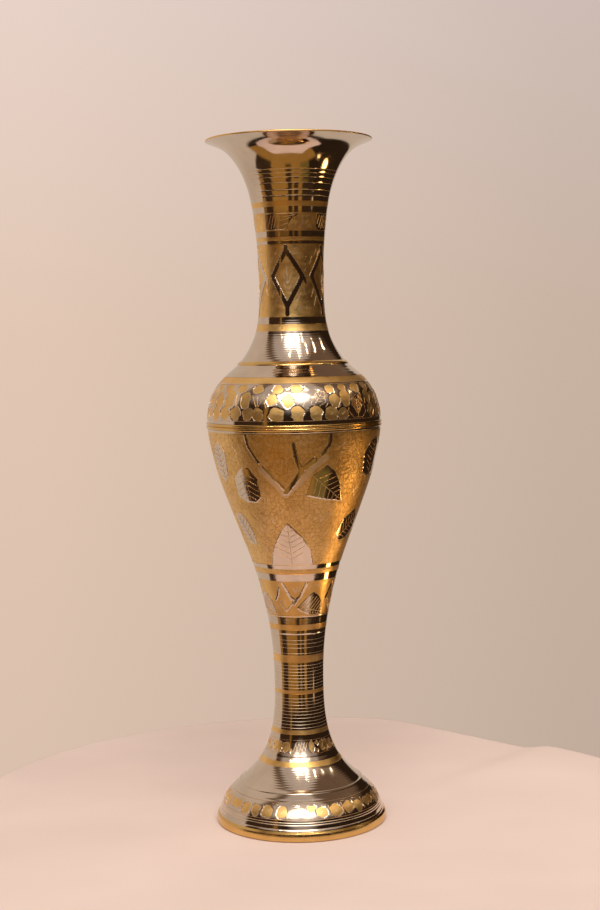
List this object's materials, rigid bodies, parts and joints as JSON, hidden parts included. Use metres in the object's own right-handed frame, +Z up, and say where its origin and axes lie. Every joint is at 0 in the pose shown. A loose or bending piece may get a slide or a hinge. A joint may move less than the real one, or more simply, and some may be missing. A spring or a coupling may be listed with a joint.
{
  "type": "flower vase",
  "caption": "Tall slender trumpet-mouthed brass flower vase on a bell foot, tinned and engraved through to the brass, turned in sections joined by soldered spigots.",
  "frame": {"origin": "centre of the base ring's resting face, on the table", "axes": "+Z up along the vase's turning axis; -Y is the face seen in the reference view"},
  "size_m": [0.103, 0.103, 0.4],
  "materials": {
    "plate": "polished warm tin plate over brass, turned lines and engraving cut through to the brass",
    "engraved_brass": "hand-chased brass ground with tinned leaves left standing",
    "bare_brass": "polished bare brass",
    "inner_brass": "dull as-turned brass",
    "solder": "dull soft solder"
  },
  "bodies": {
    "root": {"base_ring": "bare_brass", "foot": "plate", "stem": "plate", "floor_disc": "inner_brass", "taper": "plate", "bowl": "engraved_brass", "belly_ring": "bare_brass", "shoulder": "plate", "neck_collar": "bare_brass", "neck": "plate", "mouth": "plate", "solder_fillets": "solder"}
  },
  "joints": []
}
